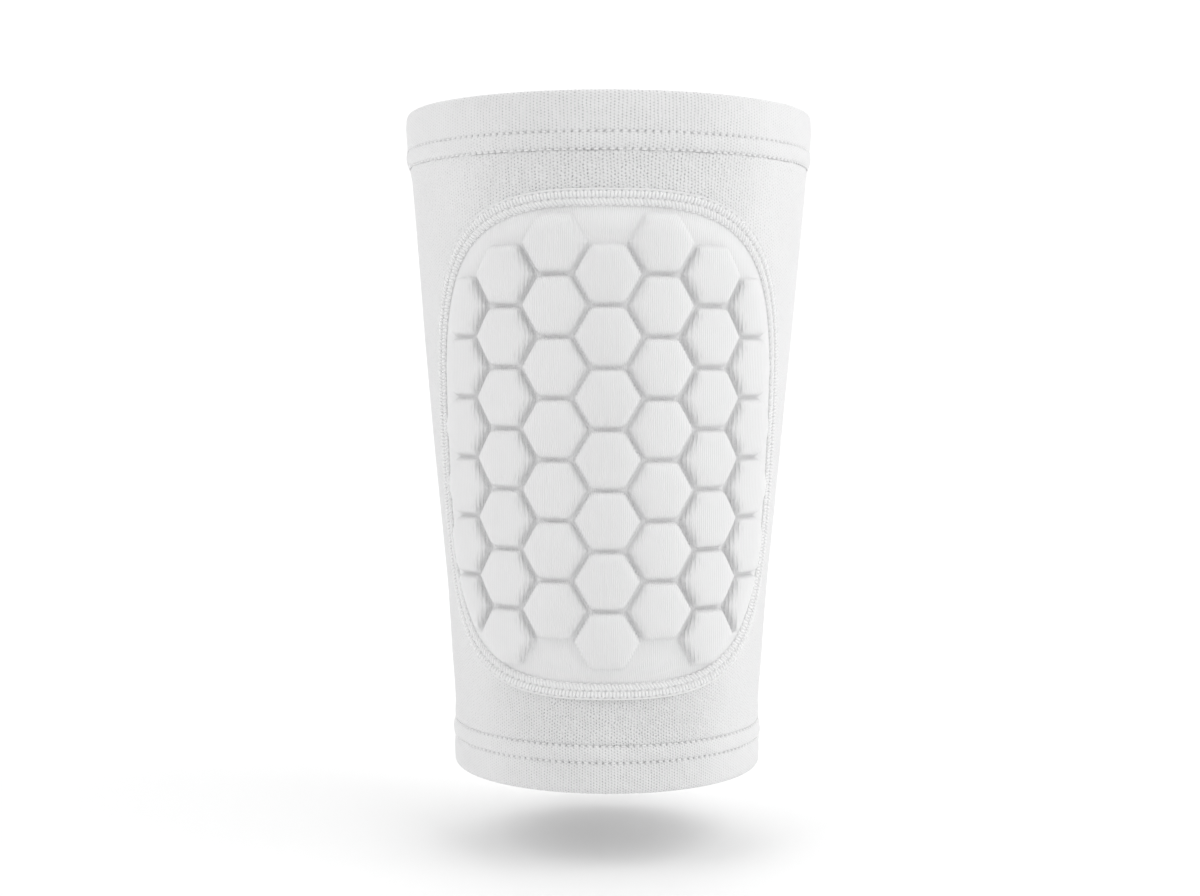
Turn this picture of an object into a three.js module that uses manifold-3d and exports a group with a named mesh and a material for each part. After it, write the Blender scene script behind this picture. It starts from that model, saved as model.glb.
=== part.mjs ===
// A padded shin sleeve: a tapered tube of elastic knit that is pulled up over the lower leg, with a doubled,
// twin-needled hem at each end and a foam panel of six-sided cells set into a window over the shin.
//
// Millimetres, +Z up. The origin lies on the leg's axis, halfway up the sleeve. The shin faces -Y.

import * as THREE from 'three';
import { ConvexGeometry } from 'three/addons/geometries/ConvexGeometry.js';
import { mergeVertices } from 'three/addons/utils/BufferGeometryUtils.js';
import Module from 'manifold-3d';

const wasm = await Module();
wasm.setup();

// The sleeve. Heights are measured up from the lower rim, radii to the cloth's outer face.
const length = 210;
const clothThickness = 1.0;
const clearance = 0.3; // between any two pieces
const upperRadius = 63.8; // where the cloth goes into the top hem
const lowerRadius = 48.5; // where it goes into the bottom hem

// Each hem is a band of the same knit, folded in two over the sleeve's raw edge and sewn with two needles.
const topHemHeight = 18.1;
const bottomHemHeight = 15.8;
const needleInset = 0.9; // from the hem's free edge to the first row of stitches
const needleGauge = 5.1; // between the two rows
const hemSwell = 0.35; // how far the band swells where no stitch pulls it in

// The pad, as it would be cut flat. Its outline is a superellipse, and is the line where it meets the sleeve.
const padHalfWidth = 62.8;
const padSquareness = 3.1;
const padGapAbove = 12.8; // from the top hem's free edge down to the pad's outline
const padGapBelow = 15.9; // from the bottom hem's free edge up to it

// The overlock seam that covers the joint between the pad and the sleeve.
const seamWidth = 5.2;
const seamThickness = 0.9;

// The pad's foam: a thin bed with rolled edges, and six-sided cells that stand on it.
const bedThickness = 2.2;
const bedEdgeWidth = 3.4;
const cellPitchUp = 18.2;
const cellPitchAcross = 15.3;
const cellRowOffset = -3.2; // from the pad's centre to the centre of the nearest cell on the front line
const grooveWidth = 1.8;
const cellHeight = 3.4;
const cellBevel = 2.1;
const cellCrown = 0.25;
const cellEdgeMargin = 1.6; // cells are trimmed this far inside the bed's edge
const cellCentreMargin = 8.0; // a cell is laid where its centre is at least this far inside the seam line

const roundSegments = 48;
const outlineSegments = 64;
const foldSegments = 4;

// The tube's side, as shares of the way up from hem to hem and of the way out from lower to upper radius.
const sleeveSide = [
  { up: 0.0, out: 0.0 },
  { up: 0.028, out: 0.07 },
  { up: 0.1, out: 0.13 },
  { up: 0.25, out: 0.245 },
  { up: 0.47, out: 0.485 },
  { up: 0.69, out: 0.715 },
  { up: 0.91, out: 0.92 },
  { up: 1.0, out: 1.0 },
];

// The bed's rolled edge, as shares of the edge's width and of the bed's thickness.
const bedEdge = [
  { inwards: 0.0, up: 0.0 },
  { inwards: 0.06, up: 0.45 },
  { inwards: 0.3, up: 0.8 },
  { inwards: 0.62, up: 0.96 },
  { inwards: 1.0, up: 1.0 },
];

// A cell's flank, as shares of the bevel and of the cell's height. It starts inside the bed.
const cellFlank = [
  { inwards: 0.0, up: -0.3 },
  { inwards: 0.25, up: 0.62 },
  { inwards: 1.0, up: 1.0 },
];

// The seam's section, as shares of its width and thickness.
const seamSection = [
  { across: 0.5, up: 0.0 },
  { across: -0.5, up: 0.0 },
  { across: -0.5, up: 0.6 },
  { across: -0.3, up: 1.0 },
  { across: 0.3, up: 1.0 },
  { across: 0.5, up: 0.6 },
];

const topHemEdge = length - topHemHeight;
const bottomHemEdge = bottomHemHeight;
const padTop = topHemEdge - padGapAbove;
const padBottom = bottomHemEdge + padGapBelow;
const padCentreHeight = (padTop + padBottom) / 2;
const padHalfHeight = (padTop - padBottom) / 2;

// The outer radius of the sleeve's cloth at a height.
function sleeveRadius(height) {
  const up = THREE.MathUtils.clamp((height - bottomHemEdge) / (topHemEdge - bottomHemEdge), 0, 1);
  const above = Math.max(1, sleeveSide.findIndex((row) => row.up >= up));
  const low = sleeveSide[above - 1];
  const high = sleeveSide[above];
  const out = THREE.MathUtils.mapLinear(up, low.up, high.up, low.out, high.out);
  return THREE.MathUtils.lerp(lowerRadius, upperRadius, out);
}

// A point given as on a flat pattern, across from the front line and up from the lower rim, wrapped onto the
// sleeve, and standing proud of its outer face.
function wrapped(across, height, proud) {
  const radius = sleeveRadius(height);
  const angle = across / radius;
  const reach = radius + proud;
  return new THREE.Vector3(reach * Math.sin(angle), -reach * Math.cos(angle), height - length / 2);
}

// The pad's outline on the flat pattern, about the pad's centre and moved inwards from the seam line.
class PadOutline extends THREE.Curve {
  constructor(inwards) {
    super();
    this.halfWidth = padHalfWidth - inwards;
    this.halfHeight = padHalfHeight - inwards;
    this.arcLengthDivisions = 40 * outlineSegments;
  }

  getPoint(turn) {
    const angle = turn * 2 * Math.PI;
    const bent = (value) => Math.sign(value) * Math.abs(value) ** (2 / padSquareness);
    return new THREE.Vector2(this.halfWidth * bent(Math.cos(angle)), this.halfHeight * bent(Math.sin(angle)));
  }

  holds(point) {
    const across = Math.abs(point.x) / this.halfWidth;
    const up = Math.abs(point.y) / this.halfHeight;
    return across ** padSquareness + up ** padSquareness <= 1;
  }
}

function outlinePoints(inwards) {
  return new PadOutline(inwards).getSpacedPoints(outlineSegments).slice(1);
}

function outlineRing(inwards, proud) {
  return outlinePoints(inwards).map((point) => wrapped(point.x, padCentreHeight + point.y, proud));
}

// A closed skin over rings of points. A ring of one point is a pole, and looped rings join last to first.
function skin(rings, looped = false) {
  const positions = [];
  const starts = [];
  for (const ring of rings) {
    starts.push(positions.length / 3);
    ring.forEach((point) => positions.push(point.x, point.y, point.z));
  }
  const count = Math.max(...rings.map((ring) => ring.length));
  const indexOf = (ring, step) => starts[ring] + (rings[ring].length === 1 ? 0 : step % count);
  const indices = [];
  const spans = looped ? rings.length : rings.length - 1;
  for (let span = 0; span < spans; span++) {
    const next = (span + 1) % rings.length;
    for (let step = 0; step < count; step++) {
      const near = [indexOf(span, step), indexOf(span, step + 1)];
      const far = [indexOf(next, step + 1), indexOf(next, step)];
      const corners = [...near, ...far];
      if (corners[0] !== corners[1]) indices.push(corners[0], corners[2], corners[1]);
      if (corners[2] !== corners[3]) indices.push(corners[0], corners[3], corners[2]);
    }
  }
  const geometry = new THREE.BufferGeometry();
  geometry.setAttribute('position', new THREE.Float32BufferAttribute(positions, 3));
  geometry.setIndex(indices);
  return geometry;
}

function toSolid(geometry) {
  const bare = geometry.clone();
  bare.deleteAttribute('normal');
  bare.deleteAttribute('uv');
  const merged = mergeVertices(bare, 1e-4);
  return new wasm.Manifold(new wasm.Mesh({
    numProp: 3,
    vertProperties: new Float32Array(merged.attributes.position.array),
    triVerts: new Uint32Array(merged.index.array),
  }));
}

function toGeometry(solid) {
  const mesh = solid.getMesh();
  const geometry = new THREE.BufferGeometry();
  geometry.setAttribute('position', new THREE.BufferAttribute(new Float32Array(mesh.vertProperties), 3));
  geometry.setIndex(new THREE.BufferAttribute(new Uint32Array(mesh.triVerts), 1));
  geometry.computeVertexNormals();
  return geometry;
}

// A closed profile of radii and heights, turned about the leg's axis.
function turned(profile) {
  const points = profile.map(([radius, height]) => new THREE.Vector2(radius, height - length / 2));
  points.push(points[0].clone());
  return new THREE.LatheGeometry(points, roundSegments).rotateX(Math.PI / 2);
}

function clothMaterial(name, color, roughness) {
  return new THREE.MeshStandardMaterial({ name, color, roughness, metalness: 0 });
}

function named(name, geometry, material) {
  const mesh = new THREE.Mesh(geometry, material);
  mesh.name = name;
  return mesh;
}

// Half the folded hem's thickness: half the sleeve's cloth, the clearance and the hem's own cloth.
const hemHalfThickness = clothThickness / 2 + clearance + clothThickness;
const slotHalfThickness = clothThickness / 2 + clearance;

// A tube that follows the sleeve's side, between two layers given by how far they stand proud of it.
function makeTube(innerProud, outerProud) {
  const side = sleeveSide.map((row) => THREE.MathUtils.lerp(bottomHemEdge, topHemEdge, row.up));
  const heights = [hemHalfThickness, ...side, length - hemHalfThickness];
  const layer = (proud) => heights.map((height) => [sleeveRadius(height) + proud, height]);
  return toSolid(turned([...layer(outerProud), ...layer(innerProud).reverse()]));
}

// A block over the pad's area, whose edge is given by rings and which reaches well past the sleeve's cloth.
function makeBlock(rings) {
  const reach = sleeveRadius(padCentreHeight) / 2;
  const lid = (inwards, proud) => [[wrapped(0, padCentreHeight, proud)], outlineRing(inwards, proud)];
  const outermost = rings[0].inwards;
  const innermost = rings.at(-1).inwards;
  return toSolid(skin([
    ...lid(outermost, reach),
    ...rings.map((ring) => outlineRing(ring.inwards, ring.proud)),
    ...lid(innermost, -reach).reverse(),
  ]));
}

// The tube of knit. Its raw edges end inside the folds of the hems, and its window takes the pad.
function makeSleeve() {
  const inwards = -clearance / 2;
  const window = makeBlock([{ inwards, proud: 0 }]);
  return toGeometry(makeTube(-clothThickness, 0).subtract(window));
}

// A hem's folded band, with its fold at the rim and its free edges towards the middle of the sleeve.
function makeHem(rim, edge) {
  const inwards = Math.sign(edge - rim);
  const middle = sleeveRadius(edge) - clothThickness / 2;
  const outer = middle + hemHalfThickness;
  const foldCentre = rim + inwards * hemHalfThickness;
  const firstRow = edge - inwards * needleInset;
  const secondRow = firstRow - inwards * needleGauge;
  const arc = (radius) => Array.from({ length: foldSegments + 1 }, (_, step) => {
    const angle = (step / foldSegments) * Math.PI;
    return [middle + radius * Math.cos(angle), foldCentre - inwards * radius * Math.sin(angle)];
  });
  const profile = [
    [outer, edge],
    [outer, firstRow],
    [outer + hemSwell, (firstRow + secondRow) / 2],
    [outer, secondRow],
    [outer + hemSwell, (secondRow + foldCentre) / 2],
    ...arc(hemHalfThickness),
    [middle - hemHalfThickness, edge],
    [middle - slotHalfThickness, edge],
    ...arc(slotHalfThickness).reverse(),
    [middle + slotHalfThickness, edge],
  ];
  return turned(inwards > 0 ? profile.reverse() : profile);
}

// The foam bed and its cloth: a thin flange under the seam, a rolled edge, and a plain field.
function makeBed() {
  const foot = seamWidth / 2 + clearance;
  const edge = bedEdge.toReversed().map((row) => {
    return { inwards: foot + row.inwards * bedEdgeWidth, proud: row.up * bedThickness };
  });
  const block = makeBlock([...edge, { inwards: clearance / 2, proud: 0 }]);
  return makeTube(-clothThickness, bedThickness).intersect(block);
}

// A six-sided cell's outline on the flat pattern, with two level sides.
function hexagon(centre, inwards) {
  const halfUp = (cellPitchUp - grooveWidth) / 2 - inwards;
  const halfAcross = (4 / 3) * (cellPitchAcross / cellPitchUp) * halfUp;
  return Array.from({ length: 6 }, (_, corner) => {
    const angle = (corner * Math.PI) / 3;
    const level = Math.sign(Math.round(2 * Math.sin(angle)));
    return new THREE.Vector2(centre.x + halfAcross * Math.cos(angle), centre.y + halfUp * level);
  });
}

// The part of a convex outline that lies inside the pad's outline, moved inwards.
function trimmed(outline, inwards) {
  const limit = outlinePoints(inwards);
  let kept = outline;
  for (const [step, from] of limit.entries()) {
    const edge = limit[(step + 1) % limit.length].clone().sub(from);
    const side = (point) => edge.cross(point.clone().sub(from));
    kept = kept.flatMap((point, index) => {
      const next = kept[(index + 1) % kept.length];
      const here = side(point);
      const there = side(next);
      const crossing = here * there < 0 ? [point.clone().lerp(next, here / (here - there))] : [];
      return here >= 0 ? [point, ...crossing] : crossing;
    });
  }
  return kept;
}

// One cell: the hull of its trimmed outlines, which draw in as they rise, and of a slight crown.
function makeCell(centre) {
  const foot = seamWidth / 2 + clearance + cellEdgeMargin;
  const points = cellFlank.flatMap((row) => {
    const inwards = row.inwards * cellBevel;
    return trimmed(hexagon(centre, inwards), foot + inwards)
      .map((point) => wrapped(point.x, padCentreHeight + point.y, bedThickness + row.up * cellHeight));
  });
  points.push(wrapped(centre.x, padCentreHeight + centre.y, bedThickness + cellHeight + cellCrown));
  return toSolid(new ConvexGeometry(points));
}

// The centres of the cells: columns side by side, every second one half a cell higher.
function cellCentres() {
  const field = new PadOutline(cellCentreMargin);
  const columns = Math.ceil(padHalfWidth / cellPitchAcross);
  const rows = Math.ceil(padHalfHeight / cellPitchUp) + 1;
  const centres = [];
  for (let column = -columns; column <= columns; column++) {
    const stagger = column % 2 === 0 ? 0 : cellPitchUp / 2;
    for (let row = -rows; row <= rows; row++) {
      const centre = new THREE.Vector2(column * cellPitchAcross, cellRowOffset + stagger + row * cellPitchUp);
      if (field.holds(centre)) centres.push(centre);
    }
  }
  return centres;
}

// The pad: foam and face cloth are moulded together, so the bed and its cells are one body.
function makePad() {
  return toGeometry(cellCentres().reduce((pad, centre) => pad.add(makeCell(centre)), makeBed()));
}

// The seam: a flat ribbon of overlock stitches that lies over both edges of the joint.
function makeSeam() {
  const rings = seamSection.map((corner) => {
    return outlineRing(-corner.across * seamWidth, clearance + corner.up * seamThickness);
  });
  return skin(rings, true);
}

const knitCloth = clothMaterial('knit_cloth', 0xf1f1f0, 0.92);
const hemCloth = clothMaterial('hem_cloth', 0xf3f3f2, 0.9);
const padCloth = clothMaterial('pad_cloth', 0xf4f4f4, 0.88);
const seamThread = clothMaterial('seam_thread', 0xf8f8f7, 0.8);

const shinSleeve = new THREE.Group();
shinSleeve.name = 'shin_sleeve';
shinSleeve.add(
  named('sleeve', makeSleeve(), knitCloth),
  named('top_hem', makeHem(length, topHemEdge), hemCloth),
  named('bottom_hem', makeHem(0, bottomHemEdge), hemCloth),
  named('pad_panel', makePad(), padCloth),
  named('pad_seam', makeSeam(), seamThread),
);

export default shinSleeve;
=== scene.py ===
import math
import random

import bmesh
import bpy
import numpy as np
from mathutils import Matrix, Vector


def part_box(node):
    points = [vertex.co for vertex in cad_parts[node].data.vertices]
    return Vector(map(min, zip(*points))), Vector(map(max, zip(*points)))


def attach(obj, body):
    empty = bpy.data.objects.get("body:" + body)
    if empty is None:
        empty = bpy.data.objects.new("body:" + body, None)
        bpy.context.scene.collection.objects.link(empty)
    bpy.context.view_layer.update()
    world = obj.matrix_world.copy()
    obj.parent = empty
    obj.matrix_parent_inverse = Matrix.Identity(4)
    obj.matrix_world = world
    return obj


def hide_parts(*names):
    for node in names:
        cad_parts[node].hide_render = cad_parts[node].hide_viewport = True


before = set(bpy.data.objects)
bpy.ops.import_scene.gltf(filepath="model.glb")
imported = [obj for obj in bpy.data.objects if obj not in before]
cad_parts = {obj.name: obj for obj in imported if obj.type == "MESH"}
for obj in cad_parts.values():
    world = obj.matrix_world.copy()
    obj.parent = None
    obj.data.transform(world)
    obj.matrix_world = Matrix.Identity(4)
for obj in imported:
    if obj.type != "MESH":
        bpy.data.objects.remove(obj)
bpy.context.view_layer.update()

# The sleeve.
# A tapered tube of elastic knit, one layer about a millimetre thick, knitted round without a back seam.
# A window for the pad is cut in its front. Its raw edges go into the hems, where they are sewn in.
mm = 0.001
cloth = 1.0 * mm
hem_stand = 1.65 * mm  # how far the CAD hem stands proud of the cloth that goes into it
bottom_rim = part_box("bottom_hem")[0][2]
bottom_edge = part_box("bottom_hem")[1][2]
top_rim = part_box("top_hem")[1][2]
top_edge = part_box("top_hem")[0][2]
upper_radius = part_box("sleeve")[1][0]
lower_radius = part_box("bottom_hem")[1][0] - hem_stand
sleeve_side = {
    "up": [0, 0.004, 0.014, 0.026, 0.063, 0.1, 0.25, 0.47, 0.69, 0.91, 0.985, 0.997, 1],
    "out": [0.08, 0.088, 0.081, 0.074, 0.099, 0.134, 0.245, 0.485, 0.715, 0.92, 0.99, 1.015, 1.015],
}
side_steps = 720
side_softening = 41  # steps that the table's corners are rounded over, away from the hems
sharp_share = 0.03  # of the side, next to each hem, where the corners stay
sharp_fade = 0.06


def softened(values, width):
    window = np.hanning(width + 2)[1:-1]
    padded = np.pad(values, width // 2, mode="edge")
    return np.convolve(padded, window / window.sum(), mode="valid")


side_up = np.linspace(0, 1, side_steps)
side_raw = np.interp(side_up, sleeve_side["up"], sleeve_side["out"])
above_hem = np.clip((np.minimum(side_up, 1 - side_up) - sharp_share) / sharp_fade, 0, 1)
side_out = side_raw + (softened(side_raw, side_softening) - side_raw) * above_hem


def leg_radius(height):
    up = (height - bottom_edge) / (top_edge - bottom_edge)
    return lower_radius + (upper_radius - lower_radius) * np.interp(up, side_up, side_out)


def wrapped(across, height, proud):
    """Points of a flat pattern, laid round the leg from the front line and standing proud of the sleeve."""
    radius = leg_radius(height)
    angle = across / radius
    reach = radius + proud
    return np.stack([reach * np.sin(angle), -reach * np.cos(angle), height], axis=-1)


# The pad's outline on the flat pattern, which the window in the sleeve follows as well.
seam_width = 5.2 * mm
pad_half_width = 62.8 * mm
pad_half_height = (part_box("pad_seam")[1][2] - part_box("pad_seam")[0][2] - seam_width) / 2
pad_centre = (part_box("pad_seam")[1][2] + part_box("pad_seam")[0][2]) / 2
pad_squareness = 3.1
outline_steps = 6000


def outline(share, inset):
    """The outline's points at shares of its length, moved in from the joint by the inset."""
    angle = np.linspace(0, 2 * math.pi, outline_steps + 1)
    bent = 2 / pad_squareness
    across = (pad_half_width - inset) * np.sign(np.cos(angle)) * np.abs(np.cos(angle)) ** bent
    up = (pad_half_height - inset) * np.sign(np.sin(angle)) * np.abs(np.sin(angle)) ** bent
    along = np.concatenate([[0], np.cumsum(np.hypot(np.diff(across), np.diff(up)))])
    place = np.mod(share, 1) * along[-1]
    return np.interp(place, along, across), np.interp(place, along, up), along[-1]


def inside_outline(across, up, inset):
    """How far points lie inside the outline, near enough, where it is moved in by the inset."""
    a = np.abs(across) / (pad_half_width - inset) + 1e-9
    b = np.abs(up) / (pad_half_height - inset) + 1e-9
    size = (a**pad_squareness + b**pad_squareness) ** (1 / pad_squareness)
    slope_a = (a / size) ** (pad_squareness - 1) / (pad_half_width - inset)
    slope_b = (b / size) ** (pad_squareness - 1) / (pad_half_height - inset)
    return (1 - size) / np.hypot(slope_a, slope_b)


def to_piece(bm, name, moves=None):
    """An object from a bmesh, whose points a function then moves to their place."""
    mesh = bpy.data.meshes.new(name)
    bm.to_mesh(mesh)
    bm.free()
    if moves:
        points = np.empty(len(mesh.vertices) * 3)
        mesh.vertices.foreach_get("co", points)
        mesh.vertices.foreach_set("co", moves(points.reshape(-1, 3)).ravel())
    piece = bpy.data.objects.new(name, mesh)
    bpy.context.scene.collection.objects.link(piece)
    return piece


def close_up(piece, gap=0.01 * mm):
    """Merges the points that meet where a mesh was wrapped round, and turns its faces outwards."""
    bm = bmesh.new()
    bm.from_mesh(piece.data)
    bmesh.ops.remove_doubles(bm, verts=bm.verts, dist=gap)
    bmesh.ops.recalc_face_normals(bm, faces=bm.faces)
    bm.to_mesh(piece.data)
    bm.free()
    piece.data.shade_smooth()


def apply_modifiers(piece):
    """Replaces the piece's mesh by what its modifiers make of it."""
    made = bpy.data.meshes.new_from_object(piece.evaluated_get(bpy.context.evaluated_depsgraph_get()))
    piece.modifiers.clear()
    piece.data = made


def waves(place, lengths, seed):
    """A soft irregular line: a few waves of the given lengths, each with a phase of its own."""
    phases = random.Random(seed)
    turns = [place / length + phases.random() for length in lengths]
    return sum(np.sin(2 * math.pi * turn) for turn in turns) / len(lengths)


def whole_turns(lengths, way_round):
    """The lengths, changed a little so that each fits round the leg a whole number of times."""
    return [way_round / round(way_round / length) for length in lengths]


# The sewing draws the knit up a little along the hems and along the pad's seam.
mean_round = math.pi * (upper_radius + lower_radius)
pucker = 0.22 * mm
pucker_lengths = whole_turns([7 * mm, 11 * mm, 19 * mm], mean_round)
pucker_fade = 6 * mm
pucker_start = 4 * mm  # from the hem's edge, where the band still holds the knit flat
# Past the hem's edge the knit sinks in under the band's tip.
into_hem = {"depth": 0.5 * mm, "over": 0.6 * mm, "bottom": 1.25 * mm, "top": 0.25 * mm}
sleeve_grid = {"round": 260, "up": 120}
sleeve_rows = {
    "share": [0, 0.06, 0.2, 0.8, 0.94, 1],
    "edge": [bottom_edge] * 3 + [top_edge] * 3,
    "over_edge": [-12, -1, 7, -7, 1, 12],
}
row_heights = np.array(sleeve_rows["edge"]) + np.array(sleeve_rows["over_edge"]) * mm
sleeve_sway = 0.2 * mm
sway_lengths = whole_turns([70 * mm, 118 * mm], mean_round)
sway_slant = 0.6


def sleeve_points(flat):
    angle = flat[:, 0] * 2 * math.pi
    height = np.interp(flat[:, 1] + 0.5, sleeve_rows["share"], row_heights)
    across = angle * leg_radius(height)
    along = angle / (2 * math.pi) * mean_round
    from_hem = np.minimum(height - bottom_edge, top_edge - height)
    free = np.clip(from_hem / pucker_start, 0, 1)
    at_hem = np.exp(-np.abs(from_hem) / pucker_fade)
    at_seam = np.exp(-np.abs(inside_outline(across, height - pad_centre, 0)) / pucker_fade)
    proud = pucker * at_hem * waves(along, pucker_lengths, seed=3)
    proud += pucker * at_seam * waves(along + height, pucker_lengths, seed=5)
    proud += sleeve_sway * waves(along + height * sway_slant, sway_lengths, seed=7)
    deep = np.maximum(bottom_edge - height, height - top_edge) - into_hem["depth"]
    sunk = np.where(height < pad_centre, into_hem["bottom"], into_hem["top"])
    return wrapped(across, height, proud * free - sunk * np.clip(deep / into_hem["over"], 0, 1))


bm = bmesh.new()
bmesh.ops.create_grid(bm, x_segments=sleeve_grid["round"], y_segments=sleeve_grid["up"], size=0.5)
sleeve = to_piece(bm, "knit_sleeve", sleeve_points)
close_up(sleeve)
wall = sleeve.modifiers.new("wall", "SOLIDIFY")
wall.thickness = cloth
wall.offset = -1

window_gap = 0.15 * mm
window_sides = 240
window_reach = leg_radius(pad_centre) / 2


def window_points(disc):
    radius = np.hypot(disc[:, 0], disc[:, 1])
    share = np.arctan2(disc[:, 1], disc[:, 0]) / (2 * math.pi)
    across, up, _ = outline(share, -window_gap)
    return wrapped(across * radius, pad_centre + up * radius, window_reach * np.sign(disc[:, 2]))


bm = bmesh.new()
bmesh.ops.create_cone(bm, segments=window_sides, radius1=1, radius2=1, depth=2, cap_ends=True, cap_tris=True)
window = to_piece(bm, "window_cutter", window_points)
close_up(window)
cut = sleeve.modifiers.new("window", "BOOLEAN")
cut.operation = "DIFFERENCE"
cut.solver = "EXACT"
cut.object = window
apply_modifiers(sleeve)
bpy.data.objects.remove(window)
sleeve.data.shade_smooth()

# How a knit shows: wales that run up the leg, each a line of V-shaped loops, with pinholes between them.
wales_round = 360
shin_facing = {"low": 0.62, "high": 0.98}  # cosines of the angle from the front, where the knit opens
mottle_grain = 55.0
fine_grain = 480.0
slow_grain = 60.0
slow_wander = 1.4  # wales
course_wander = 1.6  # courses for each wale of the fine wander
loop_chance = {"least": 0.3, "spread": 0.9}
leg_relief = 0.2
loop_relief = 0.3
pinhole_from_wale = {"low": 0.22, "high": 0.46}
pinhole_by_course = {"low": -0.2, "high": 0.8}
channel_from_wale = {"low": 0.25, "high": 0.5}
channel_dark = {"plain": 0.24, "less_with_rungs": 0.13}


def op(tree, operation, *values):
    node = tree.nodes.new("ShaderNodeMath")
    node.operation = operation
    for socket, value in zip(node.inputs, values):
        if isinstance(value, bpy.types.NodeSocket):
            tree.links.new(value, socket)
        else:
            socket.default_value = value
    return node.outputs[0]


def ramp(tree, value, low, high):
    node = tree.nodes.new("ShaderNodeMapRange")
    node.interpolation_type = "SMOOTHSTEP"
    tree.links.new(value, node.inputs["Value"])
    node.inputs["From Min"].default_value = low
    node.inputs["From Max"].default_value = high
    return node.outputs["Result"]


def noise(tree, vector, scale, detail=2.0):
    node = tree.nodes.new("ShaderNodeTexNoise")
    tree.links.new(vector, node.inputs["Vector"])
    node.inputs["Scale"].default_value = scale
    node.inputs["Detail"].default_value = detail
    return node.outputs["Fac"]


def new_group(name, inputs, outputs):
    group = bpy.data.node_groups.new(name, "ShaderNodeTree")
    for label, value in inputs.items():
        socket = group.interface.new_socket(label, in_out="INPUT", socket_type="NodeSocketFloat")
        socket.default_value = value
    for label in outputs:
        group.interface.new_socket(label, in_out="OUTPUT", socket_type="NodeSocketFloat")
    return group, group.nodes.new("NodeGroupInput"), group.nodes.new("NodeGroupOutput")


leg_place, leg_in, leg_out = new_group(
    "leg_place", {"Wales Round": wales_round}, ["Wale", "Rise", "Shin", "Mottle"]
)
place = leg_place.nodes.new("ShaderNodeTexCoord").outputs["Object"]
axes = leg_place.nodes.new("ShaderNodeSeparateXYZ")
leg_place.links.new(place, axes.inputs[0])
forwards = op(leg_place, "MULTIPLY", axes.outputs["Y"], -1.0)
turn = op(leg_place, "DIVIDE", op(leg_place, "ARCTAN2", axes.outputs["X"], forwards), 2 * math.pi)
facing = op(leg_place, "COSINE", op(leg_place, "MULTIPLY", turn, 2 * math.pi))
wale = op(leg_place, "MULTIPLY", turn, leg_in.outputs["Wales Round"])
leg_place.links.new(wale, leg_out.inputs["Wale"])
leg_place.links.new(op(leg_place, "DIVIDE", axes.outputs["Z"], mm), leg_out.inputs["Rise"])
leg_place.links.new(ramp(leg_place, facing, **shin_facing), leg_out.inputs["Shin"])
leg_place.links.new(noise(leg_place, place, mottle_grain, 4.0), leg_out.inputs["Mottle"])

knit, knit_in, knit_out = new_group(
    "knit", {"Wale": 0, "Rise": 0, "Course": 1.0, "Rungs": 1.0, "Wobble": 0.3}, ["Height", "Gap"]
)
place = knit.nodes.new("ShaderNodeTexCoord").outputs["Object"]
fine_drift = op(knit, "SUBTRACT", noise(knit, place, fine_grain), 0.5)
fine_drift = op(knit, "MULTIPLY", fine_drift, knit_in.outputs["Wobble"])
slow_drift = op(knit, "MULTIPLY", op(knit, "SUBTRACT", noise(knit, place, slow_grain), 0.5), slow_wander)
wale = op(knit, "ADD", knit_in.outputs["Wale"], op(knit, "ADD", fine_drift, slow_drift))
off_wale = op(knit, "PINGPONG", wale, 0.5)
stagger = op(knit, "MULTIPLY", op(knit, "FLOORED_MODULO", op(knit, "FLOOR", wale), 2.0), 0.5)
rise = op(knit, "ADD", op(knit, "DIVIDE", knit_in.outputs["Rise"], knit_in.outputs["Course"]), stagger)
course = op(knit, "ADD", rise, op(knit, "MULTIPLY", fine_drift, course_wander))
loop = knit.nodes.new("ShaderNodeCombineXYZ")
knit.links.new(op(knit, "FLOOR", wale), loop.inputs["X"])
knit.links.new(op(knit, "FLOOR", course), loop.inputs["Y"])
chance = knit.nodes.new("ShaderNodeTexWhiteNoise")
chance.noise_dimensions = "2D"
knit.links.new(loop.outputs[0], chance.inputs["Vector"])
uneven = op(knit, "MULTIPLY_ADD", chance.outputs["Value"], loop_chance["spread"], loop_chance["least"])
once = op(knit, "COSINE", op(knit, "MULTIPLY", off_wale, 2 * math.pi))
twice = op(knit, "COSINE", op(knit, "MULTIPLY", off_wale, 4 * math.pi))
rib = op(knit, "MULTIPLY_ADD", once, 0.5, 0.5)
legs = op(knit, "MULTIPLY_ADD", twice, -leg_relief, leg_relief)
slanted = op(knit, "COSINE", op(knit, "MULTIPLY", op(knit, "SUBTRACT", course, off_wale), 2 * math.pi))
loops = op(knit, "MULTIPLY_ADD", slanted, loop_relief, -loop_relief)
loops = op(knit, "MULTIPLY", loops, knit_in.outputs["Rungs"])
raised = op(knit, "MULTIPLY", op(knit, "ADD", rib, legs), op(knit, "ADD", loops, 1.0))
knit.links.new(raised, knit_out.inputs["Height"])
rung = op(knit, "COSINE", op(knit, "MULTIPLY", course, 2 * math.pi))
# The Gap mask says where shade is painted: in the pinholes beside each wale and in the channels between
# wales.
beside_wale = ramp(knit, off_wale, **pinhole_from_wale)
pinhole = op(knit, "MULTIPLY", beside_wale, ramp(knit, rung, **pinhole_by_course))
pinhole = op(knit, "MULTIPLY", op(knit, "MULTIPLY", pinhole, uneven), knit_in.outputs["Rungs"])
channel_share = op(
    knit, "MULTIPLY_ADD", knit_in.outputs["Rungs"], -channel_dark["less_with_rungs"], channel_dark["plain"]
)
channel = op(knit, "MULTIPLY", ramp(knit, off_wale, **channel_from_wale), channel_share)
knit.links.new(op(knit, "MAXIMUM", pinhole, channel), knit_out.inputs["Gap"])


cloth_fuzz = 0.6
cloth_shine = 0.25
mottle_middle = 0.4
mottle_share = 0.12


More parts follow.
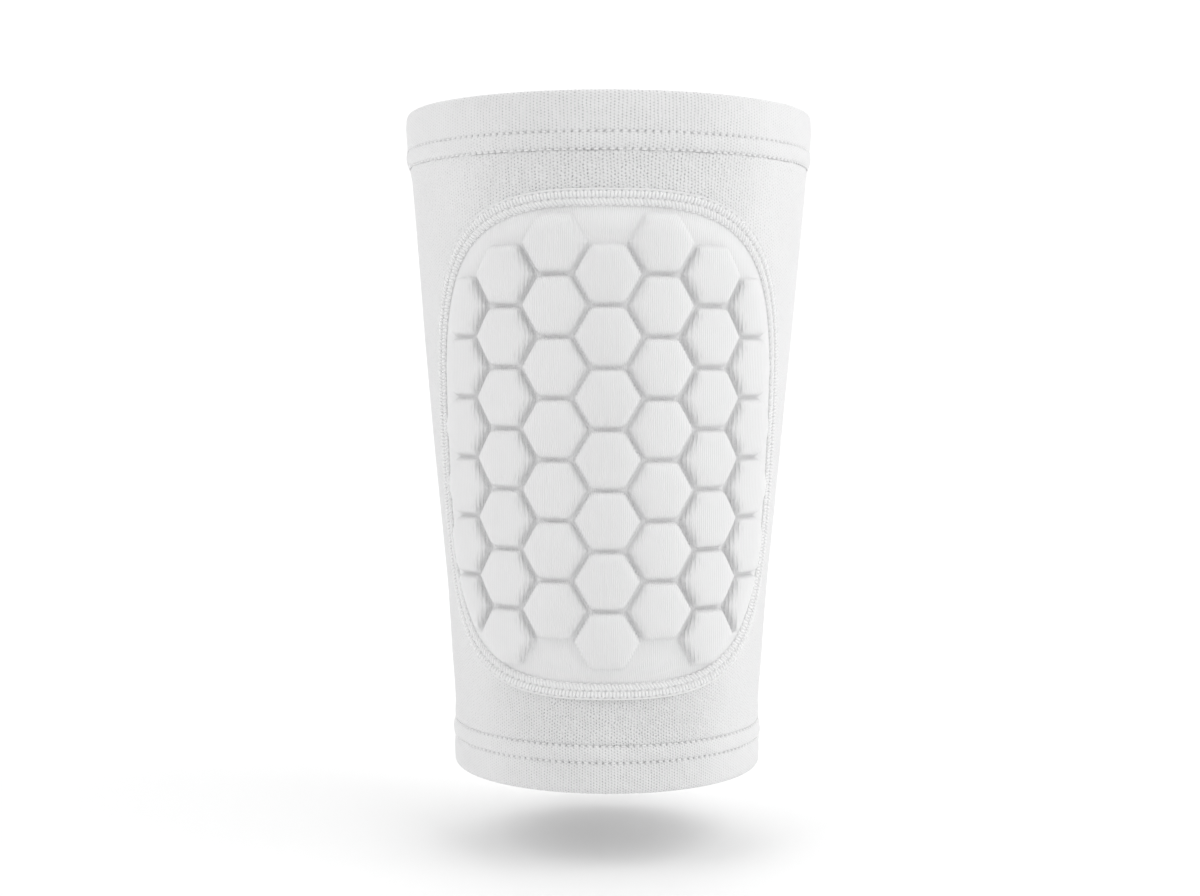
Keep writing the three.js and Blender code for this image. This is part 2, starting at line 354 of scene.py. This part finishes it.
def knit_material(
    name, colour, gap_colour, wales, course_height, open_share, shin_share, relief, roughness, sheen
):
    """A knit's finish, whose loops stand open where the cloth is stretched over the shin."""
    material = bpy.data.materials.new(name)
    material.use_nodes = True
    tree = material.node_tree
    shader = tree.nodes["Principled BSDF"]
    shader.inputs["Sheen Weight"].default_value = sheen
    shader.inputs["Sheen Roughness"].default_value = cloth_fuzz
    shader.inputs["Specular IOR Level"].default_value = cloth_shine
    on_leg = tree.nodes.new("ShaderNodeGroup")
    on_leg.node_tree = leg_place
    on_leg.inputs["Wales Round"].default_value = wales
    pattern = tree.nodes.new("ShaderNodeGroup")
    pattern.node_tree = knit
    pattern.inputs["Course"].default_value = course_height
    tree.links.new(on_leg.outputs["Wale"], pattern.inputs["Wale"])
    tree.links.new(on_leg.outputs["Rise"], pattern.inputs["Rise"])
    openness = op(tree, "MULTIPLY_ADD", on_leg.outputs["Shin"], shin_share, open_share)
    shade = tree.nodes.new("ShaderNodeMix")
    shade.data_type = "RGBA"
    shade.inputs["A"].default_value = (*colour, 1)
    shade.inputs["B"].default_value = (*gap_colour, 1)
    mottle = op(tree, "SUBTRACT", on_leg.outputs["Mottle"], mottle_middle)
    mottle = op(tree, "MULTIPLY", mottle, mottle_share)
    # Painted shade: pinholes and channels are mixed towards the darker gap colour, more where the knit stands
    # open. The mottle is a random tone.
    dark = op(tree, "ADD", op(tree, "MULTIPLY", pattern.outputs["Gap"], openness), mottle)
    tree.links.new(dark, shade.inputs["Factor"])
    tree.links.new(shade.outputs["Result"], shader.inputs["Base Color"])
    rough = op(tree, "MULTIPLY_ADD", pattern.outputs["Gap"], 1 - roughness, roughness)
    tree.links.new(rough, shader.inputs["Roughness"])
    bump = tree.nodes.new("ShaderNodeBump")
    bump.inputs["Distance"].default_value = relief
    bump.inputs["Strength"].default_value = 1.0
    tree.links.new(op(tree, "MULTIPLY", pattern.outputs["Height"], openness), bump.inputs["Height"])
    tree.links.new(bump.outputs["Normal"], shader.inputs["Normal"])
    return material, pattern, shade, dark, bump


white = (0.87, 0.87, 0.873)
shadow_white = (0.36, 0.36, 0.366)
knit_cloth, pattern, *_ = knit_material(
    "knit_cloth", white, shadow_white, wales=wales_round, course_height=1.0,
    open_share=0.35, shin_share=0.5, relief=0.28 * mm, roughness=0.9, sheen=0.12,
)
pattern.inputs["Wobble"].default_value = 0.9
sleeve.data.materials.clear()
sleeve.data.materials.append(knit_cloth)
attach(sleeve, "root")
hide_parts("sleeve")

# The hems.
# Each is a band of ribbed knit, folded double over the sleeve's raw edge and sewn through with two needles.
# The rows draw the band in, it swells between them, and its free edge is tucked in at the first row.
needle_inset = 0.9 * mm
needle_gauge = 5.1 * mm
hem_gap = 0.3 * mm
hem_half = cloth / 2 + hem_gap + cloth
slot_half = cloth / 2 + hem_gap
hem_face = {
    "down": [0.0, 0.25, 0.6, 1.2, 2.2, 3.4, 4.6, 5.3, 5.7, 6.2, 7.2, 9.5, 13.0],
    "top": [0.3, 0.5, 0.62, 0.95, 1.28, 1.42, 1.34, 1.2, 1.14, 1.18, 1.3, 1.42, 1.6],
    "bottom": [0.85, 1.1, 1.25, 1.5, 1.72, 1.82, 1.68, 1.45, 1.36, 1.38, 1.42, 1.42, 1.42],
}
hem_tuck = 0.4 * mm  # the visible edge of the band, past the first row of stitches
face_step = 0.3 * mm  # between points of the face, down to a little past the second row
past_second_row = 1.6 * mm
face_rest_steps = 9
back_steps = 8
fold_steps = 8
fold_blend = 4 * mm  # from the fold up, where the face eases into the fold's own round
sides_per_stitch = 4
hole_depth = 0.34 * mm
hole_size = 0.32 * mm
hole_dark = 0.75
channel_depth = 0.14 * mm
channel_size = 0.5 * mm
swell = 0.05 * mm  # between two stitches of a row
swell_reach = 1.4 * mm
ripple = 0.16 * mm
ripple_lengths = [9 * mm, 17 * mm, 31 * mm]
ripple_slant = 1.6


def hem_profile(rim, edge, face):
    """The band's section as a closed line of radii and heights, and each face point's way from its tip."""
    towards_rim = math.copysign(1, rim - edge)
    first_row = edge + towards_rim * needle_inset
    tip = first_row - towards_rim * hem_tuck
    radius = lower_radius if edge == bottom_edge else upper_radius
    fold = rim - towards_rim * hem_half
    run = abs(fold - tip)
    fine = np.arange(0, needle_gauge + past_second_row, face_step)
    down = np.concatenate([fine, np.linspace(fine[-1], run, face_rest_steps)[1:]])
    proud = np.interp(down / mm, hem_face["down"], hem_face[face]) * mm
    middle = radius - cloth / 2
    last = middle + hem_half - radius
    blend = np.clip((down - (run - fold_blend)) / fold_blend, 0, 1)
    outer = radius + proud + (last - proud) * blend**2 * (3 - 2 * blend)
    arc = np.linspace(0, math.pi, fold_steps + 1)[1:]
    inner = np.linspace(0, run, back_steps)[1:]
    section = [
        (outer, tip + towards_rim * down),
        (middle + hem_half * np.cos(arc), fold + towards_rim * hem_half * np.sin(arc)),
        (np.full_like(inner, middle - hem_half), fold - towards_rim * inner),
        (np.full_like(inner, middle - slot_half), tip + towards_rim * (inner - inner[0])),
        (middle + slot_half * np.cos(arc[::-1]), fold + towards_rim * slot_half * np.sin(arc[::-1])),
        (np.full_like(inner[:-1], middle + slot_half), fold - towards_rim * inner[:-1]),
    ]
    radii = np.concatenate([part[0] for part in section])
    heights = np.concatenate([part[1] for part in section])
    return radii, heights, down


def make_hem(name, rim, edge, face, stitches):
    """One band as a closed ring, with a dimple where each stitch goes in and a soft channel between them."""
    radii, heights, down = hem_profile(rim, edge, face)
    face_points = len(down)
    sides = stitches * sides_per_stitch
    count = len(radii)
    hole = {}

    def hem_points(flat):
        step = np.rint((flat[:, 1] + 0.5) * count).astype(int) % count
        side = np.rint((flat[:, 0] + 0.5) * sides).astype(int) % sides
        angle = (side / sides - 0.5) * 2 * math.pi
        radius = radii[step].copy()
        on_face = step < face_points
        below = np.where(on_face, down[np.minimum(step, face_points - 1)], 1.0)
        pitch = 2 * math.pi * radii[0] / stitches
        dark = np.zeros_like(radius)
        for row, offset in ((hem_tuck, 0.0), (hem_tuck + needle_gauge, 0.5)):
            phase = side / sides_per_stitch + offset
            along = (phase - np.rint(phase)) * pitch
            up = below - row
            dimple = np.exp(-(up**2 + along**2) / hole_size**2) * on_face
            channel = np.exp(-((up / channel_size) ** 2)) * on_face
            puff = np.exp(-np.abs(up) / swell_reach) * -np.cos(2 * math.pi * phase) * on_face
            radius -= hole_depth * dimple + channel_depth * channel - swell * puff
            dark = np.maximum(dark, dimple)
        along = angle * radii[0]
        ripples = whole_turns(ripple_lengths, 2 * math.pi * radii[0])
        radius += ripple * waves(along + ripple_slant * heights[step], ripples, seed=stitches) * on_face
        hole["dark"] = dark * (0.5 + 0.5 * np.cos(angle))  # the holes stand open over the shin
        return np.stack([radius * np.sin(angle), -radius * np.cos(angle), heights[step]], axis=-1)

    bm = bmesh.new()
    bmesh.ops.create_grid(bm, x_segments=sides, y_segments=count, size=0.5)
    band = to_piece(bm, name, hem_points)
    band.data.attributes.new("hole", "FLOAT", "POINT").data.foreach_set("value", hole["dark"])
    close_up(band, 0.02 * mm)
    return band


hem_cloth, _, shade, dark, _ = knit_material(
    "hem_cloth", white, shadow_white, wales=wales_round, course_height=0.9,
    open_share=0.3, shin_share=0.35, relief=0.3 * mm, roughness=0.9, sheen=0.12,
)


def darken_holes(material, shade, dark, strength):
    """The needle holes are dark because no light gets into them."""
    tree = material.node_tree
    hole = tree.nodes.new("ShaderNodeAttribute")
    hole.attribute_name = "hole"
    deeper = op(tree, "MULTIPLY_ADD", hole.outputs["Fac"], strength, dark)
    tree.links.new(deeper, shade.inputs["Factor"])


darken_holes(hem_cloth, shade, dark, hole_dark)
hem_stitches = {"top": 172, "bottom": 150}
top_hem = make_hem("top_hem_band", top_rim, top_edge, "top", hem_stitches["top"])
bottom_hem = make_hem("bottom_hem_band", bottom_rim, bottom_edge, "bottom", hem_stitches["bottom"])
for band, node in ((top_hem, "top_hem"), (bottom_hem, "bottom_hem")):
    band.data.materials.append(hem_cloth)
    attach(band, "root")
    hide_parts(node)

# The pad.
# Foam and a fine face cloth, pressed together hot in a mould: a thin bed with rolled edges, six-sided
# cells on it with soft shoulders, and smooth grooves between them that let the pad bend round the shin.
bed = 2.2 * mm
bed_edge = 7.5 * mm
bed_roundness = 1.1
pad_edge_inset = seam_width / 2 - 0.15 * mm
cell_up = 18.2 * mm
cell_across = 15.3 * mm
cell_offset = -3.2 * mm
groove = 1.0 * mm
cell_height = 2.6 * mm
cell_crown = 0.6 * mm
cell_margin = 3.2 * mm  # from the joint in to where the outer cells begin to rise, without a groove
cell_corner = 1.2 * mm
cell_flank = {
    "in": [0, 0.2, 0.5, 0.9, 1.5, 2.3, 3.3, 4.6],
    "up": [0, 0.46, 0.65, 0.76, 0.85, 0.925, 0.975, 1],
}
cell_uneven = 0.05  # of a cell's height
cell_lean = 0.012  # its slope
centre_margin = 8 * mm
outer_flank = 12.0 * mm
flank_roundness = 1.3
flank_blend = 0.12
beside_from = 0.45  # of the pad's half width, where the cells' outer flanks begin to be gentle
beside_over = 0.35
slant_blend = 1.2 * mm
wall = {"foot": 0.15 * mm, "top": 2.7 * mm, "fade": 2.1 * mm}  # where the face cloth is pulled
pull_reach = 3 * mm
column_pull = [0, 0.4, 1, 1, 1]  # by the column's number from the middle
foot_middle = 0.05 * mm
foot_size = 0.5 * mm


def cell_centres():
    centres = []
    for column in range(-4, 5):
        stagger = cell_up / 2 if column % 2 else 0
        for row in range(-6, 7):
            centre = (column * cell_across, cell_offset + stagger + row * cell_up)
            if inside_outline(*np.array(centre), 0) > centre_margin:
                centres.append((column, *centre))
    return centres


def soft_min(a, b, width):
    overlap = np.clip(0.5 + 0.5 * (b - a) / width, 0, 1)
    return b + (a - b) * overlap - width * overlap * (1 - overlap)


def cell_depth(across, up, centre):
    """How far points lie inside one cell's foot, and whether one of its slanting sides is the nearest."""
    half_up = (cell_up - groove) / 2
    half_across = (4 / 3) * (cell_across / cell_up) * half_up
    dx, dy = np.abs(across - centre[0]), np.abs(up - centre[1])
    level = half_up - dy
    slope = math.hypot(half_up, half_across / 2)
    slanted = (half_up * (half_across - dx) - half_across / 2 * dy) / slope
    by_slant = np.clip((level - slanted) / slant_blend, 0, 1)
    return soft_min(level, slanted, cell_corner), by_slant


def rise_by_edge(across, up):
    """How much of its height a cell has near the pad's edge: its flank is steep above and gentle beside."""
    margin = inside_outline(across, up, cell_margin)
    steep = np.interp(margin / mm, cell_flank["in"], cell_flank["up"])
    gentle = np.sin(np.clip(margin / outer_flank, 0, 1) * math.pi / 2) ** flank_roundness
    beside = np.clip((np.abs(across) / pad_half_width - beside_from) / beside_over, 0, 1)
    return steep + (gentle - steep) * beside**2 * (3 - 2 * beside)


def pad_proud(across, up):
    """The pad's height over the sleeve, how hard its cloth is pulled on the cells' walls, and where shade is
    painted at their feet.
    """
    from_edge = np.clip(inside_outline(across, up, pad_edge_inset) / bed_edge, 0, 1)
    proud = bed * np.sin(from_edge * math.pi / 2) ** bed_roundness
    pull = np.zeros_like(proud)
    nearest = np.full_like(proud, -1.0)
    by_edge = rise_by_edge(across, up)
    chance = random.Random(11)
    for column, *centre in cell_centres():
        depth, by_slant = cell_depth(across, up, centre)
        inside = depth > 0
        nearest = np.maximum(nearest, depth)
        flank = np.interp(depth / mm, cell_flank["in"], cell_flank["up"])
        rise = np.maximum(soft_min(flank, by_edge, flank_blend), 0)
        far = np.hypot(across - centre[0], up - centre[1]) / (cell_up / 2)
        height = cell_height * (1 + cell_uneven * chance.uniform(-1, 1))
        lean = cell_lean * chance.uniform(-1, 1) * (across - centre[0])
        lean = lean + cell_lean * chance.uniform(-1, 1) * (up - centre[1])
        crown = cell_crown * by_edge * np.clip(1 - far**2, 0, 1)
        proud += np.where(inside, rise * (height + lean) + crown, 0)
        up_wall = np.clip(depth / wall["foot"], 0, 1) * np.clip((wall["top"] - depth) / wall["fade"], 0, 1)
        towards_middle = np.clip((centre[0] - across) * np.sign(centre[0]) / pull_reach, 0, 1)
        pull = np.maximum(pull, up_wall * towards_middle * by_slant * column_pull[abs(column)])
    foot = np.exp(-(((nearest - foot_middle) / foot_size) ** 2)) * by_edge
    return proud, pull, foot


pad_back = {"across": 60, "up": 70}
front_cuts = 4
flange_inset = 0.15 * mm
flange_sink = 0.02 * mm
wale_draw = 0.8
crease_draw = {"across": 0.4, "up": 0.35}
draw_side = 12 * mm
pad_cloth_place = {}


def pad_points(flat):
    u, v = flat[:, 0] * 2, flat[:, 1] * 2
    square = np.maximum(np.abs(u), np.abs(v))
    rounded = (np.abs(u) ** pad_squareness + np.abs(v) ** pad_squareness) ** (1 / pad_squareness) + 1e-12
    draw_in = 1 + (square / rounded - 1) * square**3
    across = (pad_half_width - flange_inset) * u * draw_in
    up = (pad_half_height - flange_inset) * v * draw_in
    proud, pull, foot = pad_proud(across, up)
    front = flat[:, 2] > 0
    flange = inside_outline(across, up, pad_edge_inset) < 0
    proud = np.where(flange, -flange_sink, proud)
    drawn = np.tanh(across / draw_side) * proud
    pad_cloth_place["pull"] = np.where(front, pull, 0)
    pad_cloth_place["foot"] = np.where(front, foot, 0)
    pad_cloth_place["crease"] = (crease_draw["across"] * across + crease_draw["up"] * drawn) / mm
    pad_cloth_place["wale"] = (across + wale_draw * drawn) / mm
    return wrapped(across, pad_centre + up, np.where(front, proud, -cloth))


bm = bmesh.new()
bmesh.ops.create_grid(bm, x_segments=pad_back["across"], y_segments=pad_back["up"], size=0.5)
back_faces = list(bm.faces)
lifted = bmesh.ops.extrude_face_region(bm, geom=back_faces, use_keep_orig=True)["geom"]
front_verts = [part for part in lifted if isinstance(part, bmesh.types.BMVert)]
bmesh.ops.translate(bm, verts=front_verts, vec=(0, 0, 1))
front_edges = [edge for edge in bm.edges if all(vert.co.z > 0.5 for vert in edge.verts)]
bmesh.ops.subdivide_edges(bm, edges=front_edges, cuts=front_cuts, use_grid_fill=True)
pad = to_piece(bm, "moulded_pad", pad_points)
for label, values in pad_cloth_place.items():
    pad.data.attributes.new(label, "FLOAT", "POINT").data.foreach_set("value", values)
close_up(pad, 0.001 * mm)
soften = pad.modifiers.new("soft_cloth", "SMOOTH")
soften.factor = 0.5
soften.iterations = 1
apply_modifiers(pad)

face_white = (0.885, 0.885, 0.888)
face_shadow = (0.5, 0.5, 0.505)
face_wales = 551
pad_cloth, pattern, shade, dark, bump = knit_material(
    "pad_cloth", face_white, face_shadow, wales=face_wales, course_height=0.6,
    open_share=0.5, shin_share=0.1, relief=0.16 * mm, roughness=0.88, sheen=0.15,
)
tree = pad_cloth.node_tree
pattern.inputs["Rungs"].default_value = 0.0


def drawn_place(label):
    node = tree.nodes.new("ShaderNodeAttribute")
    node.attribute_name = label
    return node.outputs["Fac"]


# The wales are drawn together where the cloth goes down the cells' walls that face the middle. It lies in
# small creases there.
# These walls and their crease hollows get painted shade, and shade is also painted along the cells' feet.
wale_pitch = 0.66
crease_pitch = 0.68
crease_grain = 260.0
crease_wander = 0.7
crease_relief = 1.4
crease_painted_shade = 0.42
foot_painted_shade = 0.13
tree.links.new(op(tree, "DIVIDE", drawn_place("wale"), wale_pitch), pattern.inputs["Wale"])
pull_share = drawn_place("pull")
place = tree.nodes.new("ShaderNodeTexCoord").outputs["Object"]
bent = op(tree, "MULTIPLY_ADD", noise(tree, place, crease_grain), crease_wander, drawn_place("crease"))
crease = op(tree, "COSINE", op(tree, "MULTIPLY", bent, 2 * math.pi / crease_pitch))
crease = op(tree, "MULTIPLY", op(tree, "MULTIPLY_ADD", crease, 0.5, 0.5), pull_share)
height = bump.inputs["Height"].links[0].from_socket
tree.links.new(op(tree, "MULTIPLY_ADD", crease, crease_relief, height), bump.inputs["Height"])
# Painted shade: the walls that face the middle are darkened, most in the hollows between their creases.
deeper = op(tree, "MULTIPLY_ADD", op(tree, "SUBTRACT", pull_share, crease), crease_painted_shade, dark)
# Painted shade along the cells' feet, in the grooves and at the base of the walls.
deeper = op(tree, "MULTIPLY_ADD", drawn_place("foot"), foot_painted_shade, deeper)
tree.links.new(deeper, shade.inputs["Factor"])
pad.data.materials.clear()
pad.data.materials.append(pad_cloth)
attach(pad, "root")
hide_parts("pad_panel")

# The pad's seam.
# A flat overlock seam sewn with three needles, which joins the pad's flange to the window's edge. Its
# loopers lay threads over the joint, straight across on the sleeve's side and slanting on the pad's side.
seam_base = 0.05 * mm
seam_reach = 4 * mm  # to either side of the joint, where the seam's two guide lines run
wanted_stitch = 2.15 * mm
_, _, seam_run = outline(np.zeros(1), 0)
seam_stitches = round(seam_run / wanted_stitch)
stitch_length = seam_run / seam_stitches
# Across the seam, from the sleeve's side to the pad's side.
seam_rows = [-1.75 * mm, 0.3 * mm, 2.4 * mm]
ribbon_section = {
    "across": [-2.62, -2.5, -2.3, -2.1, -1.9, -1.7, -1.4, -0.7, 0, 0.3, 0.6, 1.3, 2.0, 2.3, 2.5, 2.62],
    "up": [0, 0.55, 0.74, 0.6, 0.4, 0.34, 0.5, 0.56, 0.44, 0.34, 0.46, 0.5, 0.4, 0.3, 0.16, 0],
}
ribbon_steps = seam_stitches * 4
ribbon_backing = 0.25 * mm
needle_hole = 0.3 * mm
needle_depth = 0.16 * mm
needle_dark = 0.45


def seam_points(along, across, up):
    """Points of a straight run of seam, laid along the pad's outline."""
    share = along / seam_run
    outer_across, outer_up, _ = outline(share, -seam_reach)
    inner_across, inner_up, _ = outline(share, seam_reach)
    inwards = (across + seam_reach) / (2 * seam_reach)
    laid_across = outer_across + (inner_across - outer_across) * inwards
    laid_up = outer_up + (inner_up - outer_up) * inwards
    return wrapped(laid_across, pad_centre + laid_up, seam_base + up)


ribbon_hole = {}


def ribbon_points(flat):
    rows = np.array(ribbon_section["across"]) * mm
    step = np.rint((flat[:, 1] + 0.5) * (len(rows) - 1)).astype(int)
    along = (flat[:, 0] + 0.5) * seam_run
    across = rows[step]
    up = np.array(ribbon_section["up"])[step] * mm
    phase = along / stitch_length
    offset = (phase - np.rint(phase)) * stitch_length
    dark = np.zeros_like(up)
    for row in seam_rows:
        dark = np.maximum(dark, np.exp(-((across - row) ** 2 + offset**2) / needle_hole**2))
    ribbon_hole["dark"] = dark
    return seam_points(along, across, up - needle_depth * dark)


bm = bmesh.new()
bmesh.ops.create_grid(bm, x_segments=ribbon_steps, y_segments=len(ribbon_section["up"]) - 1, size=0.5)
ribbon = to_piece(bm, "seam_ribbon", ribbon_points)
ribbon.data.attributes.new("hole", "FLOAT", "POINT").data.foreach_set("value", ribbon_hole["dark"])
close_up(ribbon)
backing = ribbon.modifiers.new("thread_bed", "SOLIDIFY")
backing.thickness = ribbon_backing
backing.offset = -1
apply_modifiers(ribbon)


def strand(bm, start, end, radius, rise, sides=6, rings=5):
    """One visible length of thread, which comes up out of a needle hole and goes down into the next."""
    start, end = Vector(start), Vector(end)
    side = (end - start).cross(Vector((0, 0, 1))).normalized()
    lift = side.cross(end - start).normalized()
    for vert in bmesh.ops.create_grid(bm, x_segments=sides, y_segments=rings, size=0.5)["verts"]:
        turn_round = vert.co.x * 2 * math.pi
        share = vert.co.y + 0.5
        thickness = radius * max(0, 1 - (2 * share - 1) ** 4) ** 0.5
        centre = start.lerp(end, share) + lift * rise * math.sin(math.pi * share)
        vert.co = centre + (side * math.cos(turn_round) + lift * math.sin(turn_round)) * thickness


def repeated(bm, name, pitch, count, moves):
    """A row of stitches: one stitch arrayed along a straight line, then laid along its seam."""
    bmesh.ops.remove_doubles(bm, verts=bm.verts, dist=0.005 * mm)
    bmesh.ops.recalc_face_normals(bm, faces=bm.faces)
    row = to_piece(bm, name)
    array = row.modifiers.new("stitches", "ARRAY")
    array.fit_type = "FIXED_COUNT"
    array.count = count
    array.use_relative_offset = False
    array.use_constant_offset = True
    array.constant_offset_displace = (pitch, 0, 0)
    apply_modifiers(row)
    points = np.empty(len(row.data.vertices) * 3)
    row.data.vertices.foreach_get("co", points)
    points = points.reshape(-1, 3)
    row.data.vertices.foreach_set("co", moves(points[:, 0], points[:, 1], points[:, 2]).ravel())
    row.data.update()
    row.data.shade_smooth()
    return row


outer_row, middle_row, inner_row = seam_rows
cover = {"radius": 0.53 * mm, "rise": 0.22 * mm, "up": 0.36 * mm, "past_row": 0.15 * mm}
looper = {"radius": 0.38 * mm, "rise": 0.2 * mm, "up": 0.36 * mm, "end_up": 0.3 * mm, "slant": 1.3 * mm}
needle = {"radius": 0.2 * mm, "rise": 0.16 * mm, "up": 0.3 * mm, "from_hole": 0.3 * mm}
bm = bmesh.new()
for place in (0.25, 0.75):  # of a stitch: two cover threads lie side by side, straight across
    along = place * stitch_length
    strand(
        bm, (along, outer_row - cover["past_row"], cover["up"]), (along, middle_row, cover["up"]),
        cover["radius"], cover["rise"],
    )
for place in (0.0, 0.5):  # two looper threads slant over the pad's edge
    start = (place * stitch_length, middle_row - 0.05 * mm, looper["up"])
    end = (place * stitch_length - looper["slant"], inner_row + 0.1 * mm, looper["end_up"])
    strand(bm, start, end, looper["radius"], looper["rise"])
for row in seam_rows:  # the needle threads run from hole to hole
    start = (needle["from_hole"], row, needle["up"])
    end = (stitch_length - needle["from_hole"], row, needle["up"])
    strand(bm, start, end, needle["radius"], needle["rise"], sides=5, rings=4)
seam_threads = repeated(bm, "seam_threads", stitch_length, seam_stitches, seam_points)


def thread_material(name, colour, fuzz_scale):
    """Soft spun thread: matt, a little fuzzy, with a faint sheen along it."""
    material = bpy.data.materials.new(name)
    material.use_nodes = True
    tree = material.node_tree
    shader = tree.nodes["Principled BSDF"]
    shader.inputs["Sheen Weight"].default_value = 0.2
    shader.inputs["Specular IOR Level"].default_value = 0.3
    place = tree.nodes.new("ShaderNodeTexCoord").outputs["Object"]
    fuzz = noise(tree, place, fuzz_scale, 3.0)
    shade = tree.nodes.new("ShaderNodeMix")
    shade.data_type = "RGBA"
    shade.inputs["A"].default_value = (*colour, 1)
    shade.inputs["B"].default_value = (0.45, 0.45, 0.455, 1)
    dark = op(tree, "MULTIPLY", ramp(tree, fuzz, 0.5, 0.8), 0.12)
    tree.links.new(dark, shade.inputs["Factor"])
    tree.links.new(shade.outputs["Result"], shader.inputs["Base Color"])
    tree.links.new(op(tree, "MULTIPLY_ADD", fuzz, 0.25, 0.62), shader.inputs["Roughness"])
    bump = tree.nodes.new("ShaderNodeBump")
    bump.inputs["Distance"].default_value = 0.06 * mm
    tree.links.new(fuzz, bump.inputs["Height"])
    tree.links.new(bump.outputs["Normal"], shader.inputs["Normal"])
    return material, shade, dark


thread_white = (0.92, 0.92, 0.922)
seam_thread, *_ = thread_material("seam_thread", thread_white, 2600.0)
seam_bed, shade, dark = thread_material("seam_bed", (0.88, 0.88, 0.882), 1900.0)
darken_holes(seam_bed, shade, dark, needle_dark)
seam_threads.data.materials.append(seam_thread)
ribbon.data.materials.append(seam_bed)
for piece in (ribbon, seam_threads):
    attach(piece, "root")
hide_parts("pad_seam")

# The hems' stitches.
# Twin needles leave two rows of short straight stitches on the outside of each hem, sunk into the cloth,
# with a small hole where each goes in. They are sewn after the band is folded over the sleeve's edge.
hem_thread_radius = 0.2 * mm
hem_thread_sink = 0.16 * mm
hem_thread_rise = 0.16 * mm
hem_thread_ends = {"left": 0.16, "right": 0.84}  # shares of a stitch's pitch
hem_rows = {"top": (top_rim, top_edge), "bottom": (bottom_rim, bottom_edge)}
for face, (rim, edge) in hem_rows.items():
    radii, heights, down = hem_profile(rim, edge, face)
    count = hem_stitches[face]
    pitch = 2 * math.pi / count
    bm = bmesh.new()
    for row, offset in ((hem_tuck, 0.0), (hem_tuck + needle_gauge, 0.5)):
        radius = float(np.interp(row, down, radii[:len(down)]))
        height = float(np.interp(row, down, heights[:len(down)]))
        left = (offset + hem_thread_ends["left"]) * pitch * radius
        right = (offset + hem_thread_ends["right"]) * pitch * radius
        sunk = radius - hem_thread_sink
        strand(bm, (left, height, sunk), (right, height, sunk), hem_thread_radius, hem_thread_rise)

    def round_leg(along, height, radius):
        angle = along / np.mean(radius) + math.pi
        return np.stack([radius * np.sin(angle), -radius * np.cos(angle), height], axis=-1)

    row_radius = float(np.mean([vert.co.z for vert in bm.verts]))
    stitches = repeated(bm, f"{face}_hem_stitches", pitch * row_radius, count, round_leg)
    stitches.data.materials.append(seam_thread)
    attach(stitches, "root")

# The studio.
# A white paper sweep under and behind the sleeve, and soft lights in front of it, beside it and behind it,
# stronger on the right. The camera is where the photograph's was, a little above the sleeve's middle.
floor = bottom_rim - 25 * mm
sweep_half_width = 3.0
sweep_front = -2.0
sweep_back = 1.6
sweep_bend = 0.6
sweep_top = 2.4
bend_steps = 12
bm = bmesh.new()
corner = [(sweep_front, floor)]
for step in range(bend_steps + 1):
    bent = step / bend_steps * math.pi / 2
    corner.append((
        sweep_back - sweep_bend + sweep_bend * math.sin(bent),
        floor + sweep_bend - sweep_bend * math.cos(bent),
    ))
corner.append((sweep_back, floor + sweep_top))
line = [bm.verts.new((-sweep_half_width, y, z)) for y, z in corner]
edges = [bm.edges.new(pair) for pair in zip(line, line[1:])]
swept = bmesh.ops.extrude_edge_only(bm, edges=edges)["geom"]
far_side = [part for part in swept if isinstance(part, bmesh.types.BMVert)]
bmesh.ops.translate(bm, verts=far_side, vec=(2 * sweep_half_width, 0, 0))
sweep = to_piece(bm, "studio_sweep")
sweep.data.shade_smooth()
paper = bpy.data.materials.new("studio_paper")
paper.use_nodes = True
paper_shader = paper.node_tree.nodes["Principled BSDF"]
paper_shader.inputs["Base Color"].default_value = (0.93, 0.93, 0.93, 1)
paper_shader.inputs["Roughness"].default_value = 1.0
paper_shader.inputs["Emission Color"].default_value = (1, 1, 1, 1)
paper_shader.inputs["Emission Strength"].default_value = 0.07
sweep.data.materials.append(paper)

world = bpy.data.worlds.new("studio_air")
bpy.context.scene.world = world
world.use_nodes = True
world.node_tree.nodes["Background"].inputs["Color"].default_value = (1, 1, 1, 1)
world.node_tree.nodes["Background"].inputs["Strength"].default_value = 0.52
bpy.context.scene.view_settings.view_transform = "Standard"

piece_centre = (0, 0, 0)
sweep_back_foot = (0, 1.6, 0.2)
soft_lights = {
    "name": ["right_light", "right_side_light", "left_light", "left_side_light", "back_light", "sweep_light"],
    "place": [
        (0.86, -0.62, 0.88), (1.05, 0.05, 0.78), (-0.86, -0.58, 0.90),
        (-1.05, 0.05, 0.78), (0.0, 0.85, 1.2), (0.0, 0.6, 1.1),
    ],
    "aim": [piece_centre] * 5 + [sweep_back_foot],
    "size": [(1.3, 1.1), (0.9, 0.9), (0.9, 0.9), (0.9, 0.9), (1.2, 0.6), (2.4, 0.5)],
    "power": [6.6, 2.0, 3.7, 1.2, 1.8, 7.0],
}
for name, place, aim, size, power in zip(*soft_lights.values()):
    lamp = bpy.data.lights.new(name, "AREA")
    lamp.shape = "RECTANGLE"
    lamp.size, lamp.size_y = size
    lamp.energy = power
    holder = bpy.data.objects.new(name, lamp)
    holder.location = place
    holder.rotation_euler = (Vector(aim) - Vector(place)).to_track_quat("-Z", "Y").to_euler()
    bpy.context.scene.collection.objects.link(holder)

eye = bpy.data.cameras.new("camera")
eye.sensor_width = 36
eye.lens = 54.13
eye.clip_start = 0.01
camera = bpy.data.objects.new("camera", eye)
bpy.context.scene.collection.objects.link(camera)
camera_place = Matrix.Translation((0, -0.5902, 0.02765))
camera_yaw = Matrix.Rotation(math.radians(0.2445), 4, "Z")
camera_pitch = Matrix.Rotation(math.radians(90 - 2.897), 4, "X")
camera_roll = Matrix.Rotation(math.radians(0.152), 4, "Z")
camera.matrix_world = camera_place @ camera_yaw @ camera_pitch @ camera_roll
bpy.context.scene.camera = camera

bpy.context.view_layer.update()
